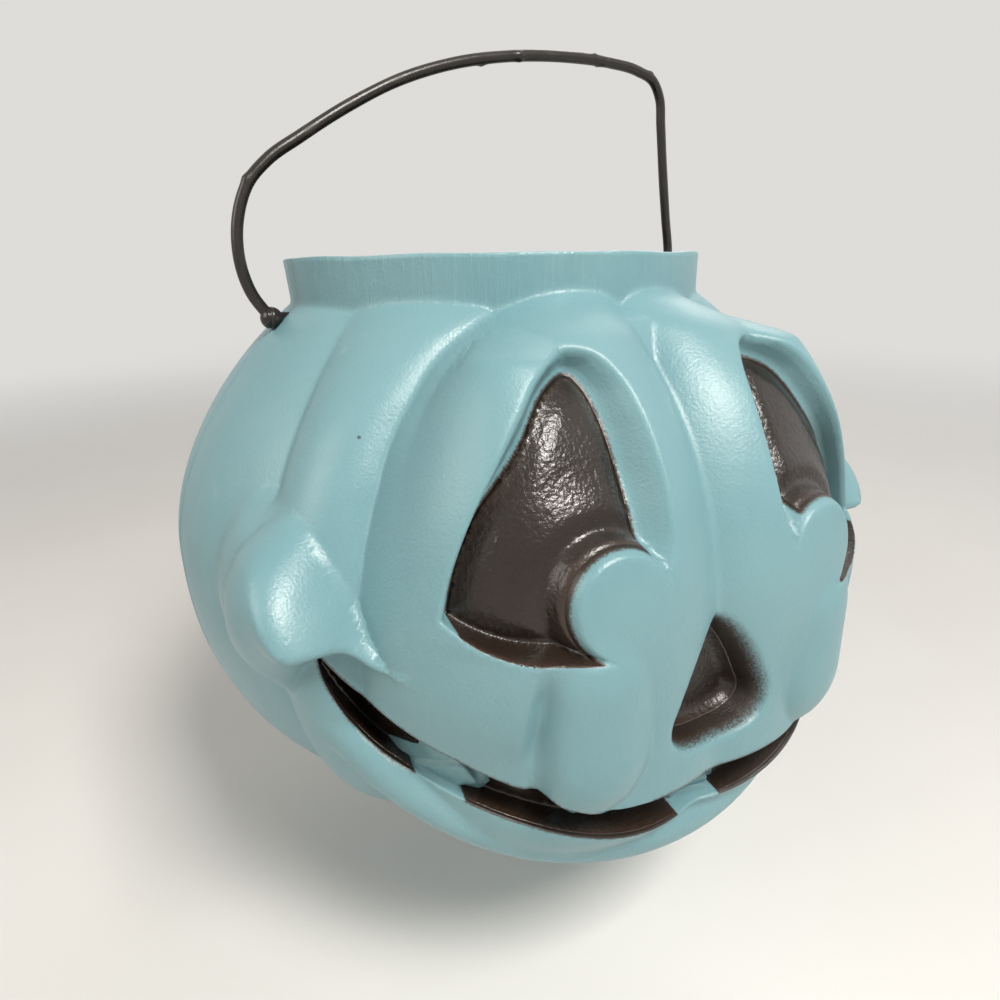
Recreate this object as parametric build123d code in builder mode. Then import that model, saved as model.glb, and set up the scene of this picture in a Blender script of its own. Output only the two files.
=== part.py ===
"""Blow-moulded pumpkin candy pail with a swinging bail handle.

Millimetres, +Z up. The origin is the middle of the flat base, the carved face
looks along -Y, and the handle swings about a line along X.
"""
import os
from math import cos, radians, sin

from build123d import *

# Moulded body: heights and radii from the base to the foot of the collar
body_height = 173.0
body_radius = 114.5
face_radius = 126.0
wall = 1.6
collar_radius = 70.0
collar_height = 13.0
collar_root = 8.0
cut_overrun = 5.0

# Horizontal sections, from the base up, as shares of the sizes above: heights, side
# radii, crests and middle valley of the face, and how deep the creases are
level_shares = [0, 0.03, 0.09, 0.18, 0.31, 0.46, 0.60, 0.74, 0.86, 0.94, 1]
side_shares = [0.437, 0.505, 0.674, 0.821, 0.936, 0.992, 0.997, 0.933, 0.820, 0.711, 0.620]
face_shares = [0.400, 0.484, 0.723, 0.882, 0.977, 1, 0.993, 0.949, 0.857, 0.745, 0.615]
valley_shares = [0.400, 0.484, 0.715, 0.868, 0.935, 0.902, 0.898, 0.838, 0.737, 0.636, 0.557]
relief_shares = [0, 0.3, 0.7, 1, 1, 1, 1, 1, 1, 0.8, 0.4]

# Creases between the lobes, in degrees round from the middle of the face
brow_creases = [48, 48, 48, 48, 48, 48, 47.5, 46.7, 43.8, 38, 27]
side_crease = 63.5
back_creases = [118, 149, 180]
face_crest_share = 0.51
brow_depth_share = 0.005
brow_swell_share = 0.012
side_depth_share = 0.025
back_depth_share = 0.040
back_swell_share = -0.010

# Full brows, raised cheeks, muzzle halves and lower lip
brow_offset = 41.5
brow_front = 81.5
brow_height = 95.0
brow_half_width = 32.0
brow_half_height = 72.0
cheek_offset = 84.0
cheek_front = 63.0
cheek_height = 99.0
cheek_radius = 29.6
cheek_notch_azimuth = 45
cheek_notch_height = 84.0
cheek_notch_radius = 20.0
muzzle_offset = 36.8
muzzle_height = 74.0
muzzle_reach = 122.5
muzzle_half_width = 22.0
muzzle_half_height = 42.0
lip_radius = 7.0
lip_middle_reach = 102.5
lip_middle_height = 25.5
lip_end_offset = 91.0
lip_end_reach = 47.0
lip_end_height = 84.0

# Carved recesses, drawn straight back from the front
recess_depth = 9.0
recess_valley_fill = 2.0
eye_inner_offset = 16.5
eye_bottom_height = 97.5
eye_width = 54.5
eye_height = 67.0
eye_corner_shares = (1, 0.15)
eye_chin_shares = (0.90, 0.05)
eye_foot_shares = (0.76, 0)
eye_outer_shares = (0.77, 0.58)
eye_brow_shares = (0.343, 0.96)
eye_top_shares = (0.20, 1)
eye_turn_shares = (0.077, 0.915)
eye_flank_shares = (0.015, 0.76)
eye_inner_shares = (0, 0.60)
pupil_radius = 11.8
pupil_offset_share = 0.333
pupil_lower_notch = 280
pupil_outer_turn = 35
pupil_inner_notch = 170
nose_top_height = 97.0
nose_corner_offset = 19.5
nose_corner_height = 68.0
nose_bottom_height = 59.0
nose_edge_shares = (0.62, 0.59)
nose_floor_reach = 107.0
nose_wall_run = 5.8
nose_wall_draft = 30
nose_wall_depth = 20.0
mouth_corner_offset = 93.0
mouth_corner_height = 92.0
mouth_corner_drop = 6.0
mouth_lower_height = 34.0
mouth_upper_height = 50.0
mouth_cheek_offset = 57.0
mouth_cheek_height = 65.5
mouth_cheek_shares = (0.64, 0.36)
mouth_muzzle_offset = 21.0
mouth_muzzle_shares = (0.60, 0.27)

# Teeth left standing in the mouth
side_tooth_offset = 73.0
side_tooth_width = 13.0
side_tooth_bottom = 50.0
side_tooth_top = 65.0
upper_tooth_offset = 39.0
upper_tooth_width = 14.0
upper_tooth_bottom = 48.0
middle_tooth_width = 18.0
middle_tooth_top = 42.5

# Sprayed paint on the floors of the recesses
paint_thickness = 0.3
paint_edge_gap = 0.3

# Handle: a bent rod with a snap-in button at each end, seated in the shoulder
hinge_offset = 78.5
hinge_height = 168.6
handle_rise = 83.4
rod_radius = 1.75
handle_route_shares = [
    (-1, 0), (-1.12, 0.22), (-1.05, 0.503), (-0.61, 0.743), (-0.127, 0.93),
    (0.382, 1), (0.946, 0.982), (1.073, 0.197), (1, 0),
]
handle_bend_shares = [0.36, 0.20, 1.5, 1.3, 1.3, 0.12, 0.28]
button_radius = 3.4
button_clearance = 0.1
socket_depth = 1.6
socket_clearance = 0.02
pin_radius = 1.6
pin_clearance = 0.05
barb_offset = 67.0
barb_length = 3.0
barb_radius = 2.5
barb_tip_radius = 1.0
seat_thickness = 1.8


def polar(radius, azimuth):
    """Point at a radius and an azimuth, measured round from the front."""
    return (radius * sin(radians(azimuth)), -radius * cos(radians(azimuth)))


def half_outline(level, inset, valley_fill):
    """Crease and crest points of one half of a section, front to back."""
    side = body_radius * side_shares[level]
    face = face_radius * face_shares[level]
    relief = relief_shares[level]
    brow = brow_creases[level]
    points = [
        (0, face_radius * valley_shares[level] + valley_fill * relief),
        (brow * face_crest_share, face),
        (brow, side * (1 - brow_depth_share * relief)),
        ((brow + side_crease) / 2, side * (1 + brow_swell_share * relief)),
        (side_crease, side * (1 - side_depth_share * relief)),
        ((side_crease + back_creases[0]) / 2, side),
        (back_creases[0], side * (1 - back_depth_share * relief)),
    ]
    for start, end in zip(back_creases, back_creases[1:]):
        points.append(((start + end) / 2, side * (1 + back_swell_share * relief)))
        points.append((end, side * (1 - back_depth_share * relief)))
    return [(azimuth, radius - inset) for azimuth, radius in points]


def lobed_body(inset, end_inset, valley_fill):
    """Pumpkin body through its sections, drawn in round the sides and at both ends."""
    with BuildPart() as body:
        for level, share in enumerate(level_shares):
            height = end_inset + share * (body_height - 2 * end_inset)
            right = half_outline(level, inset, valley_fill)
            left = [(-azimuth, radius) for azimuth, radius in reversed(right)]
            with BuildSketch(Plane.XY.offset(height)):
                with BuildLine():
                    for half in (right, left):
                        for arc in range(0, len(half) - 1, 2):
                            ThreePointArc(*[polar(r, a) for a, r in half[arc:arc + 3]])
                make_face()
        loft()
    return body.part


def egg(center, half_width, half_height):
    """Round bulge: half an ellipse turned about its upright axis."""
    with BuildPart() as bulge:
        with BuildSketch(Plane(center, x_dir=(1, 0, 0), z_dir=(0, -1, 0))):
            with BuildLine():
                EllipticalCenterArc((0, 0), half_width, half_height, start_angle=-90, arc_size=180)
                Line((0, half_height), (0, -half_height))
            make_face()
        revolve(axis=Axis(center, (0, 0, 1)))
    return bulge.part


def cheek_bulge(hand, inset):
    """Raised cheek: a ball cut back in an arc above the corner of the mouth."""
    notch_outward = Vector(*polar(1, hand * cheek_notch_azimuth), 0)
    with BuildPart() as bulge:
        with Locations((hand * cheek_offset, -cheek_front, cheek_height)):
            Sphere(cheek_radius - inset)
        with BuildSketch(Plane((0, 0, cheek_notch_height), z_dir=notch_outward)):
            Circle(cheek_notch_radius + inset)
        extrude(amount=face_radius + cut_overrun, mode=Mode.SUBTRACT)
    return bulge.part


def lip_roll(inset):
    """Rolled lower lip: a round bar along one arc below the mouth."""
    with BuildPart() as lip:
        with BuildLine() as run:
            ThreePointArc(
                (-lip_end_offset, -lip_end_reach, lip_end_height),
                (0, -lip_middle_reach, lip_middle_height),
                (lip_end_offset, -lip_end_reach, lip_end_height),
            )
        with BuildSketch(Plane(run.line @ 0, z_dir=run.line % 0)):
            Circle(lip_radius - inset)
        sweep()
    return lip.part


def swollen_body(inset):
    """Pumpkin body with its brows, cheeks, muzzle halves and lower lip."""
    forms = [lobed_body(inset, inset, 0), lip_roll(inset)]
    for hand in (-1, 1):
        brow = (hand * brow_offset, -brow_front, brow_height)
        forms.append(egg(brow, brow_half_width - inset, brow_half_height - inset))
        forms.append(cheek_bulge(hand, inset))
        muzzle = (hand * muzzle_offset, muzzle_half_width - muzzle_reach, muzzle_height)
        forms.append(egg(muzzle, muzzle_half_width - inset, muzzle_half_height - inset))
    with BuildPart() as body:
        add(forms)
    return body.part


def eye_point(shares):
    """Point of the right eye's outline, from shares of its width and height."""
    return (eye_inner_offset + shares[0] * eye_width, eye_bottom_height + shares[1] * eye_height)


def pupil_point(angle):
    """Point on the pupil's edge at an angle."""
    pupil_x = eye_inner_offset + pupil_offset_share * eye_width
    pupil_z = eye_bottom_height - pupil_radius * sin(radians(pupil_lower_notch))
    return (pupil_x + pupil_radius * cos(radians(angle)), pupil_z + pupil_radius * sin(radians(angle)))


def eye_outline(hand, margin):
    """One eye recess, with the raised pupil left standing in its inner corner."""
    with BuildSketch(Plane.XZ) as outline:
        with BuildLine():
            Line(pupil_point(pupil_lower_notch), eye_point(eye_foot_shares))
            ThreePointArc(*[eye_point(s) for s in (eye_foot_shares, eye_chin_shares, eye_corner_shares)])
            ThreePointArc(*[eye_point(s) for s in (eye_corner_shares, eye_outer_shares, eye_brow_shares)])
            ThreePointArc(*[eye_point(s) for s in (eye_brow_shares, eye_top_shares, eye_turn_shares)])
            ThreePointArc(*[eye_point(s) for s in (eye_turn_shares, eye_flank_shares, eye_inner_shares)])
            Line(eye_point(eye_inner_shares), pupil_point(pupil_inner_notch))
            ThreePointArc(*[
                pupil_point(a) for a in (pupil_inner_notch, pupil_outer_turn, pupil_lower_notch)
            ])
        make_face()
        if margin:
            offset(amount=margin)
        if hand < 0:
            mirror(about=Plane.YZ, mode=Mode.REPLACE)
    return outline.sketch


def nose_floor(margin, reach):
    """Flat floor of the nose recess: a rounded triangle across the middle valley, within its walls."""
    rise = nose_top_height - nose_corner_height
    bow_x = nose_corner_offset * nose_edge_shares[0]
    bow_z = nose_corner_height + rise * nose_edge_shares[1]
    with BuildSketch(Plane.XZ.offset(reach)) as outline:
        with BuildLine():
            for hand in (-1, 1):
                corner = (hand * nose_corner_offset, nose_corner_height)
                ThreePointArc((0, nose_top_height), (hand * bow_x, bow_z), corner)
            ThreePointArc(
                (-nose_corner_offset, nose_corner_height),
                (0, nose_bottom_height),
                (nose_corner_offset, nose_corner_height),
            )
        make_face()
        offset(amount=margin - nose_wall_run)
    return outline.sketch


def between(start, end, shares):
    """Point between two corners, from shares along each axis."""
    return tuple(a + (b - a) * share for a, b, share in zip(start, end, shares))


def tooth(offset_x, width, bottom, top):
    """Tooth cut out of the mouth's outline."""
    with Locations((offset_x, (bottom + top) / 2)):
        Rectangle(width, top - bottom, mode=Mode.SUBTRACT)


def mouth_outline(margin):
    """Smiling mouth recess, with the five teeth left standing in it."""
    lower_corner_height = mouth_corner_height - mouth_corner_drop
    with BuildSketch(Plane.XZ) as outline:
        with BuildLine():
            for hand in (-1, 1):
                corner = (hand * mouth_corner_offset, mouth_corner_height)
                cheek = (hand * mouth_cheek_offset, mouth_cheek_height)
                muzzle = (hand * mouth_muzzle_offset, mouth_upper_height)
                Line((hand * mouth_corner_offset, lower_corner_height), corner)
                ThreePointArc(corner, between(cheek, corner, mouth_cheek_shares), cheek)
                ThreePointArc(cheek, between(muzzle, cheek, mouth_muzzle_shares), muzzle)
            Line((-mouth_muzzle_offset, mouth_upper_height), (mouth_muzzle_offset, mouth_upper_height))
            ThreePointArc(
                (-mouth_corner_offset, lower_corner_height),
                (0, mouth_lower_height),
                (mouth_corner_offset, lower_corner_height),
            )
        make_face()
        if margin:
            offset(amount=margin)
        for hand in (-1, 1):
            tooth(hand * side_tooth_offset, side_tooth_width - 2 * margin,
                  side_tooth_bottom - cut_overrun, side_tooth_top - margin)
            tooth(hand * upper_tooth_offset, upper_tooth_width - 2 * margin,
                  upper_tooth_bottom + margin, mouth_cheek_height + cut_overrun)
        tooth(0, middle_tooth_width - 2 * margin,
              mouth_lower_height - cut_overrun, middle_tooth_top - margin)
    return outline.sketch


def recess_outlines(margin):
    """Front outlines of the eyes and the mouth, by the paint that covers them."""
    return {
        "eye_paint_left": eye_outline(-1, margin),
        "eye_paint_right": eye_outline(1, margin),
        "mouth_paint": mouth_outline(margin),
    }


def recess_cutter(margin, depth):
    """Everything in front of the recess floors, within the widened outlines."""
    floor = lobed_body(depth, 0, recess_valley_fill)
    outlines = recess_outlines(margin)
    with BuildPart() as cutter:
        for outline in outlines.values():
            extrude(outline, amount=face_radius + cut_overrun)
        add(floor, mode=Mode.SUBTRACT)
        nose = nose_floor(margin, nose_floor_reach + recess_depth - depth)
        extrude(nose, amount=nose_wall_depth, taper=-nose_wall_draft)
    return cutter.part


def hinge_point(hand):
    """Middle of a button's bead, on the hinge line."""
    return Vector(hand * hinge_offset, 0, hinge_height)


def route_point(shares):
    """Point of the rod's route, from shares of the hinge offset and the rise."""
    return Vector(shares[0] * hinge_offset, 0, hinge_height + shares[1] * handle_rise)


def rod_end(hand):
    """Where the rod's end stands in its socket, facing along the rod."""
    first, second = handle_route_shares[:2] if hand < 0 else handle_route_shares[:-3:-1]
    along = (route_point(second) - route_point(first)).normalized()
    return Plane(hinge_point(hand) + along * (button_radius - socket_depth), z_dir=along)


# Outer skin and inner space of the moulding
outer_body = swollen_body(0)
outer_cutter = recess_cutter(0, recess_depth)
with BuildPart() as skin:
    add(outer_body)
    add(outer_cutter, mode=Mode.SUBTRACT)

inner_body = swollen_body(wall)
inner_cutter = recess_cutter(wall, recess_depth + wall)
with BuildPart() as space:
    add(inner_body)
    add(inner_cutter, mode=Mode.SUBTRACT)
    with Locations(hinge_point(-1), hinge_point(1)):
        Sphere(button_radius + button_clearance + seat_thickness, mode=Mode.SUBTRACT)

# Pail shell: hollow moulding, trimmed collar, and a cup and hole for each button
with BuildPart() as pail_shell:
    add(skin.part)
    with BuildSketch(Plane.XY.offset(body_height - collar_root)):
        Circle(collar_radius)
    extrude(amount=collar_root + collar_height)
    add(space.part, mode=Mode.SUBTRACT)
    with BuildSketch(Plane.XY.offset(body_height - collar_root)):
        Circle(collar_radius - wall)
    extrude(amount=collar_root + collar_height + cut_overrun, mode=Mode.SUBTRACT)
    with Locations(hinge_point(-1), hinge_point(1)):
        Sphere(button_radius + button_clearance, mode=Mode.SUBTRACT)
    for hand in (-1, 1):
        with BuildSketch(Plane(hinge_point(hand), z_dir=(-hand, 0, 0))):
            Circle(pin_radius + pin_clearance)
        extrude(amount=hinge_offset - barb_offset, mode=Mode.SUBTRACT)
pail_shell.part.label = "pail_shell"

# Handle buttons: bead with a socket for the rod, pin through the shoulder, barb inside
buttons = {}
for name, hand in (("handle_button_left", -1), ("handle_button_right", 1)):
    with BuildPart() as button:
        with Locations(hinge_point(hand)):
            Sphere(button_radius)
        with BuildSketch(Plane(hinge_point(hand), z_dir=(-hand, 0, 0))):
            Circle(pin_radius)
        extrude(amount=hinge_offset - barb_offset)
        with BuildSketch(Plane((hand * barb_offset, 0, hinge_height), z_dir=(-hand, 0, 0))):
            Circle(barb_radius)
        with BuildSketch(Plane((hand * (barb_offset - barb_length), 0, hinge_height), z_dir=(-hand, 0, 0))):
            Circle(barb_tip_radius)
        loft()
        with BuildSketch(rod_end(hand)):
            Circle(rod_radius + socket_clearance)
        extrude(amount=button_radius, mode=Mode.SUBTRACT)
    button.part.label = name
    buttons[name] = button.part

# Handle rod: one bent bar from socket to socket
with BuildPart() as handle_rod:
    with BuildLine() as route:
        bends = [route_point(shares) for shares in handle_route_shares[1:-1]]
        FilletPolyline(
            rod_end(-1).origin, *bends, rod_end(1).origin,
            radius=[handle_rise * share for share in handle_bend_shares],
        )
    with BuildSketch(rod_end(-1)):
        Circle(rod_radius)
    sweep()
handle_rod.part.label = "handle_rod"

# Paint coats: thin layers on the recess floors, just clear of the walls
coat_top = lobed_body(recess_depth - paint_thickness, 0, recess_valley_fill)
coat_bottom = lobed_body(recess_depth, 0, recess_valley_fill)
with BuildPart() as coat:
    add(coat_top)
    add(coat_bottom, mode=Mode.SUBTRACT)

paints = {}
for name, outline in recess_outlines(-paint_edge_gap).items():
    with BuildPart() as paint:
        extrude(outline, amount=face_radius + cut_overrun)
        add(coat.part, mode=Mode.INTERSECT)
    paint.part.label = name
    paints[name] = paint.part

with BuildPart() as nose_paint:
    extrude(nose_floor(-paint_edge_gap, nose_floor_reach), amount=paint_thickness)
nose_paint.part.label = "nose_paint"
paints["nose_paint"] = nose_paint.part

os.makedirs("parts", exist_ok=True)
for piece in (pail_shell.part, handle_rod.part, *buttons.values(), *paints.values()):
    export_step(piece, f"parts/{piece.label}.step")
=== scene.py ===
"""Looks of the pumpkin candy pail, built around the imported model.

Sizes are in millimetres and scaled to metres where a mesh is made. The face looks along -Y,
azimuths run round from the front, and heights are above the floor that the pail stands on.
"""
import math

import bmesh
import bpy
import numpy as np
from mathutils import Matrix, Vector
from mathutils.geometry import delaunay_2d_cdt
from mathutils.kdtree import KDTree


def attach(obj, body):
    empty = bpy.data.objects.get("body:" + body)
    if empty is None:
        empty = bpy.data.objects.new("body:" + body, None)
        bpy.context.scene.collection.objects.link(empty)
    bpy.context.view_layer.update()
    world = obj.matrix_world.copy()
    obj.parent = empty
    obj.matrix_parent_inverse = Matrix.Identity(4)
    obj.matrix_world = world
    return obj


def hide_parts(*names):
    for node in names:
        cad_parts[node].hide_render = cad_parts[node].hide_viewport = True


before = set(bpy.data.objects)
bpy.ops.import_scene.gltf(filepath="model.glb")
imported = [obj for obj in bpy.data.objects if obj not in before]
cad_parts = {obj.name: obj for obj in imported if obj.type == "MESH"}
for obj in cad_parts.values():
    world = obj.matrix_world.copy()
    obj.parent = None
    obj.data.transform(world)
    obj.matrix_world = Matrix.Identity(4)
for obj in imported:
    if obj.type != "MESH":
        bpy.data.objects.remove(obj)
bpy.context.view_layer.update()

MM = 0.001

# Guards for divisions and searches, and how finely a line is divided between its points
tiny = 1e-12
far_away = 1e9
spline_steps = 7

# Moulded body: profiles of the sides and of the face's crests as superellipses
side_radius = 114.3
side_middle = 99.2
side_rise = 101.4
side_rise_power = 1.73
side_drop = 103.2
side_drop_power = 2.37
face_radius = 127.0
face_middle = 83.2
face_rise = 102.7
face_rise_power = 2.52
face_drop = 82.6
face_drop_power = 2.7
jaw_drop = 5.0
jaw_height = 62.0
jaw_span = 17.0
foot_radius = 50.0
foot_height = 5.0
side_foot_slope = 1.5
face_foot_slope = 2.1
wall = 1.6

# Heights from the base up, with the middle valley's radius, the creases' relief and the brow crease
level_heights = [0, 5.2, 15.6, 31, 53.6, 79.6, 103.8, 128, 148.8, 162.6, 173, 178]
valley_radii = [50.2, 61, 89.6, 108.4, 116.6, 113.4, 112.6, 105.4, 92.6, 80, 70.5, 66]
face_crest_shares = [0.50, 0.50, 0.50, 0.50, 0.50, 0.52, 0.57, 0.57, 0.57, 0.57, 0.57, 0.57]
relief_shares = [0, 0.3, 0.7, 1, 1, 1, 1, 1, 1, 0.9, 0.6, 0.5]
brow_creases = [48, 48, 48, 48, 48, 48, 47.5, 46.7, 43.8, 38, 27, 24]

# Creases between the lobes, in degrees, and how deep they are
side_crease = 63.5
back_creases = [118, 149, 180]
brow_depth_share = 0.034
brow_fade_share = 0.3
brow_fade_height = 95.0
brow_fade_span = 35.0
brow_swell_share = 0.026
side_depth_share = 0.046
back_depth_share = 0.040
back_swell_share = -0.010
crease_blend = 1.0
valley_blend = 2.2
lobe_top = 177.5

# Inner lobes eased back near the collar, where the folded handle lies
rest_depth = 2.4
rest_height = 165.0
rest_span = 8.0
rest_angle = 32.0
rest_fade_angle = 8.0

# Flat facet at the top of the middle valley
facet_low_height = 157.0
facet_low_reach = 85.6
facet_slope = 0.55
facet_top = 168.0
facet_top_slope = 2.0
facet_half_angle = 7.5
facet_fade_angle = 6.0
facet_fade_drop = 8.0
facet_blend = 0.7
facet_under_slope = 1.5
facet_side_angle = 20.0
facet_turn_limit = 30.0

# Collar, trimmed level at the top
collar_radius = 70.0
collar_top = 186.0
collar_lean = 1.1

# Full brow: an upright egg in the upper half of each face lobe
brow_offset = 41.5
brow_front = 81.5
brow_middle = 95.0
brow_half_width = 30.4
brow_half_height = 72.5
brow_blend = 9.0
brow_foot = 88.0
brow_foot_span = 14.0
brow_top = 161.0
brow_top_span = 9.0

# How steeply a ball or an egg falls away past its edge
limb_fall = 4.0

# Raised cheek: a ball and a flatter pad behind it, cut back along a line above the corner of the mouth
cheek_offset = 83.0
cheek_front = 66.0
cheek_middle = 100.0
cheek_radius = 28.0
pad_offset = 72.7
pad_front = 42.0
pad_middle = 98.0
pad_radius = 37.0
pad_blend = 12.0
cheek_blend = 3.0
cheek_crease = [(42.6, 90.8), (45.6, 98.4), (47.3, 104.6), (49.1, 110.4), (51.2, 116.8), (53.6, 122.3),
                (57.5, 126.3), (61, 127.6), (66, 128.4)]
cheek_crease_rise = 11.0
cheek_edge = [(38, 86.5), (42.6, 89.4), (44.8, 91), (46.5, 93.6), (48.3, 95.6), (50, 95.4), (51.2, 94),
              (52.5, 91), (54.7, 86), (57.5, 78.5), (61, 71), (66, 64)]
cheek_edge_rise = 4.0
cheek_fade_rise = 18.0
cheek_fade_angle = 50.0
cheek_fade_span = 7.0
degree_length = 2.2

# Crease round the outer side of the muzzle, as azimuth and height
muzzle_crease = [(24.4, 99), (24.8, 93), (25.3, 84), (25.6, 74), (25.5, 64), (25.2, 56)]
muzzle_crease_depth = 3.4
muzzle_crease_width = 2.7
muzzle_crease_fade = 14.0

# Muzzle half: an upright round column that sinks into the face towards the pupil
muzzle_offset = 36.5
muzzle_reach = 122.3
muzzle_radius = 19.6
muzzle_low = 70.0
muzzle_low_length = 25.0
muzzle_fade_low = 88.0
muzzle_fade_high = 112.0
muzzle_fade_drop = 4.5
muzzle_blend = 0.7
muzzle_top_slope = 3.0
muzzle_side_angle = 60.0

# Rolled lower lip: a bar along one arc below the mouth
lip_radius = 8.0
lip_middle_reach = 103.2
lip_middle_height = 25.5
lip_end_offset = 91.0
lip_end_reach = 47.0
lip_end_height = 84.0
lip_blend = 1.6
lip_steps = 60
lip_end_past = 4.0
lip_end_fade = 6.0
lip_side_angle = 75.0

# Recesses: outlines on the right-hand side as offset and height, with the sizes of their walls and floors
eye_rim = [(72.4, 107.2), (70.6, 115), (65.2, 128.8), (58.4, 140.8), (51.2, 151.4), (45.6, 158.0),
           (38, 162.8), (29.6, 164.6), (23.6, 162.6), (19.6, 157), (17.6, 148), (17.0, 138), (17.2, 128),
           (18.2, 118), (20.6, 111.2)]
eye_narrow_run = 5.0
eye_wide_run = 8.2
eye_narrow_offset = 62.0
eye_run_span = 16.0
eye_rim_rounding = 2.4
pupil_shallow = 3.2
pupil_shallow_reach = 18.0
eye_foot = [(37.4, 96.6), (48, 97.0), (58.5, 98.2), (66.3, 101.8), (72.4, 107.2)]
pupil_center = (34.3, 108.4)
pupil_radius = 11.6
pupil_start = 168
pupil_end = -76
pupil_steps = 40
eye_depth = 9.5
eye_pillow = 1.6
eye_pillow_reach = 5.0
nose_rim = [(0, 97), (4.6, 94.4), (8.6, 90), (12, 84.8), (16, 77), (18.6, 70.5), (17.8, 65), (13.5, 61),
            (7, 59.2), (0, 58.8)]
nose_side_run = 8.0
nose_foot_run = 4.6
nose_foot_height = 59.0
nose_run_span = 14.0
nose_floor_reach = 107.0
mouth_upper = [(93, 92), (89.5, 86.6), (86, 81.7), (81.3, 76.6), (75, 71.6), (68, 67.2), (62, 63.2),
               (57, 60.4)]
mouth_muzzle = [(57, 60.4), (53, 58.8), (49, 57.2), (45.3, 55.6), (39.7, 52.8), (33, 50.8), (24, 50.2),
                (12, 49.9), (0, 49.8)]
mouth_lower = [(93, 92), (92.2, 85), (89.8, 77.6), (86.2, 70), (80.6, 62.6), (74, 57.2), (66, 52.8),
               (54, 47.6), (40, 42), (20, 36), (0, 34.2)]
mouth_depth = 9.5
mouth_valley_fill = 3.0
mouth_valley_width = 12.0
mouth_side_share = 0.45
wall_fillet_share = 0.35
outside_length = 3.0
drop_margin = 4.0

# Walls: run, painted share and rounded share at the rim, where these are even along a wall
eye_painted_share = 1.0
pupil_wall = (4.2, 0.50, 0.6)
eye_foot_wall = (2.6, 0.08, 0.25)
nose_shares = (0.62, 0.3)
mouth_upper_wall = (1.8, 0.30, 0.25)
mouth_lower_wall = (2.2, 0.22, 0.25)

# Teeth: middle, half sizes, turn in degrees, how far back the front stands
teeth = [((67.5, 56.5), (6.5, 4.6), -27, 5.6),
         ((31.0, 53.0), (8.6, 6.0), 0, 3.4),
         ((0.0, 34.5), (8.4, 5.4), 0, 5.6)]
tooth_rounding = 2.0
tooth_wall = 1.4

# Handle: a bent rod with a bead at each end
hinge_offset = 78.5
hinge_height = 168.6
rod_radius = 1.75
bead_radius = 3.4
bead_seat = 3.55
barb_offset = 67.0
handle_route = [(-78.5, 168.6), (-80.4, 171.0), (-83.2, 175.4), (-85.2, 181.5), (-85.8, 190.0),
                (-84.2, 199.0), (-80.6, 206.8), (-74.6, 213.0), (-64.0, 220.0), (-48.0, 229.6),
                (-31.0, 238.0), (-12.0, 244.4), (6.0, 248.2), (30.0, 250.8), (50.0, 251.2),
                (63.0, 250.0), (70.8, 247.2), (74.0, 242.4), (75.4, 233.0), (77.4, 218.0), (80.2, 200.0),
                (82.4, 187.0), (82.6, 180.0), (81.2, 173.4), (78.5, 168.6)]


def ease(t):
    """Smooth rise from 0 to 1."""
    t = np.clip(t, 0, 1)
    return t * t * (3 - 2 * t)


def soft_max(a, b, width):
    """Larger of two values, rounded over where they cross."""
    near = np.maximum(width - np.abs(a - b), 0) / width
    return np.maximum(a, b) + near * near * width / 4


def curve_value(x, places, values):
    """Smooth curve through the given values."""
    places = np.asarray(places, float)
    values = np.asarray(values, float)
    slopes = np.gradient(values, places)
    i = np.clip(np.searchsorted(places, x) - 1, 0, len(places) - 2)
    span = places[i + 1] - places[i]
    t = np.clip((x - places[i]) / span, 0, 1)
    return ((1 + 2 * t) * (1 - t) ** 2 * values[i] + t * (1 - t) ** 2 * span * slopes[i]
            + t * t * (3 - 2 * t) * values[i + 1] + t * t * (t - 1) * span * slopes[i + 1])


def line_lengths(line):
    """Length along a line at each of its points."""
    return np.concatenate([[0], np.cumsum(np.hypot(*np.diff(line, axis=0).T))])


def spline(points, steps=spline_steps):
    """Smooth open line through the points."""
    points = np.asarray(points, float)
    lengths = line_lengths(points)
    fine = np.linspace(0, 1, (len(points) - 1) * steps + 1)
    along = np.interp(fine, np.linspace(0, 1, len(points)), lengths)
    return np.column_stack([curve_value(along, lengths, points[:, k]) for k in range(points.shape[1])])


def line_distance(x, z, line):
    """Shortest distance from each point to a line of straight pieces."""
    best = np.full(np.shape(x), far_away)
    for (ax, az), (bx, bz) in zip(line[:-1], line[1:]):
        dx, dz = bx - ax, bz - az
        t = np.clip(((x - ax) * dx + (z - az) * dz) / (dx * dx + dz * dz + tiny), 0, 1)
        best = np.minimum(best, (x - ax - t * dx) ** 2 + (z - az - t * dz) ** 2)
    return np.sqrt(best)


def inside(x, z, outline):
    """Whether each point lies inside a closed outline."""
    odd = np.zeros(np.shape(x), bool)
    for (ax, az), (bx, bz) in zip(outline, np.roll(outline, -1, axis=0)):
        crosses = (az > z) != (bz > z)
        odd ^= crosses & (x < ax + (z - az) / (bz - az + tiny) * (bx - ax))
    return odd


def superellipse(z, radius, middle, rise, rise_power, drop, drop_power):
    """Radius of an egg-shaped profile at a height."""
    share = np.where(z > middle, (z - middle) / rise, (middle - z) / drop)
    power = np.where(z > middle, rise_power, drop_power)
    return radius * np.maximum(1 - np.clip(share, 0, 1) ** power, tiny) ** (1 / power)


def ray_circle(azimuth, center_x, center_front, radius):
    """Distance from the axis, along an azimuth, to the far side of a circle."""
    along = center_x * np.sin(azimuth) + center_front * np.cos(azimuth)
    room = along ** 2 - center_x ** 2 - center_front ** 2 + radius ** 2
    return np.where(room > 0, along + np.sqrt(np.maximum(room, 0)), 0)


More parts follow.
